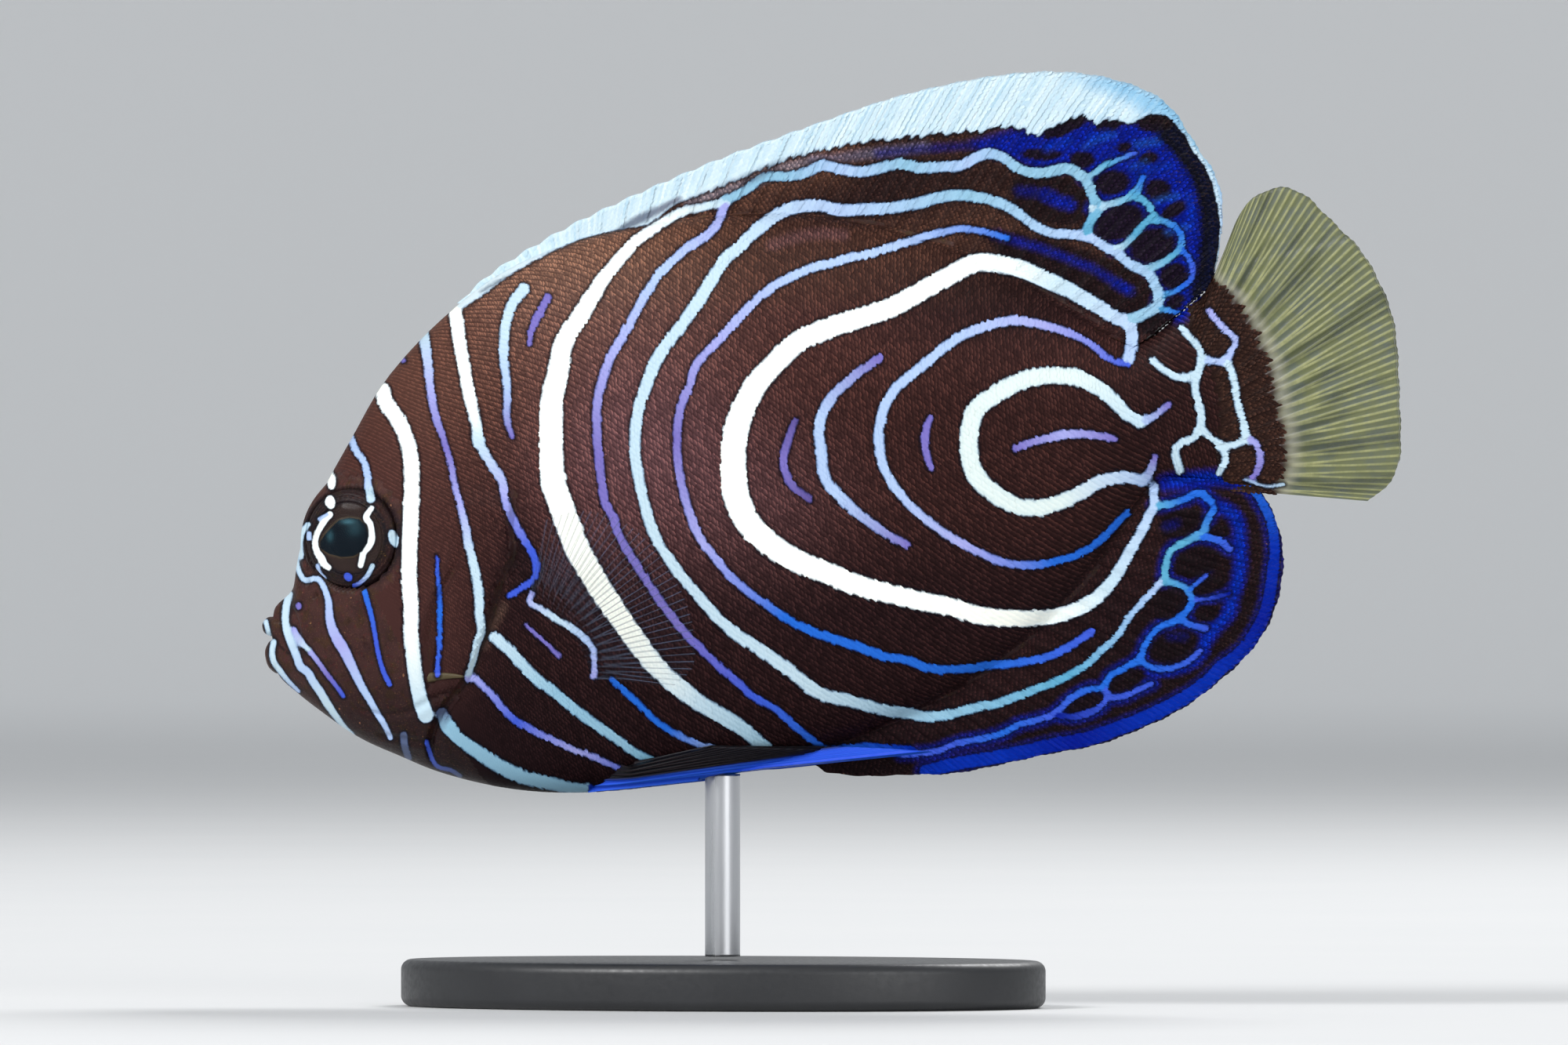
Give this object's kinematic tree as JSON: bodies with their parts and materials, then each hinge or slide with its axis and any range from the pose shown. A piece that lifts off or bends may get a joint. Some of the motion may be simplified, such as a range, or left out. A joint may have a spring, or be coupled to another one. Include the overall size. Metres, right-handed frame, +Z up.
{
  "type": "emperor angelfish",
  "caption": "Young emperor angelfish, life size, nose down, with ringed flanks and spread fins, held on a plain display stand.",
  "frame": {"origin": "centre of the underside of the stand's base", "axes": "+X from the snout towards the tail, +Y towards the fish's right side, +Z up"},
  "size_m": [0.1001, 0.036, 0.0795],
  "materials": {
    "skin": "moist scaly skin, coppery brown with white, pale blue and violet rings",
    "scaled_fin": "scaled fin, blue black cells in a pale blue net",
    "clear_fin": "thin see-through fin with fine rays",
    "eye": "wet eye, dark brown iris with white lines and a blue black pupil",
    "stand_steel": "brushed rod",
    "stand_paint": "satin dark grey paint"
  },
  "bodies": {
    "root": {"head": "skin", "upper_lip": "skin", "lower_lip": "skin", "trunk": "skin", "tail_stalk": "skin", "gill_cover_left": "skin", "gill_cover_right": "skin", "dorsal_fin": "scaled_fin", "anal_fin": "scaled_fin", "pelvic_fin_left": "scaled_fin", "pelvic_fin_right": "scaled_fin", "tail_fin": "clear_fin", "pectoral_fin_left": "clear_fin", "pectoral_fin_right": "clear_fin", "eye_left": "eye", "eye_right": "eye", "stand_rod": "stand_steel", "stand_base": "stand_paint"}
  },
  "joints": []
}
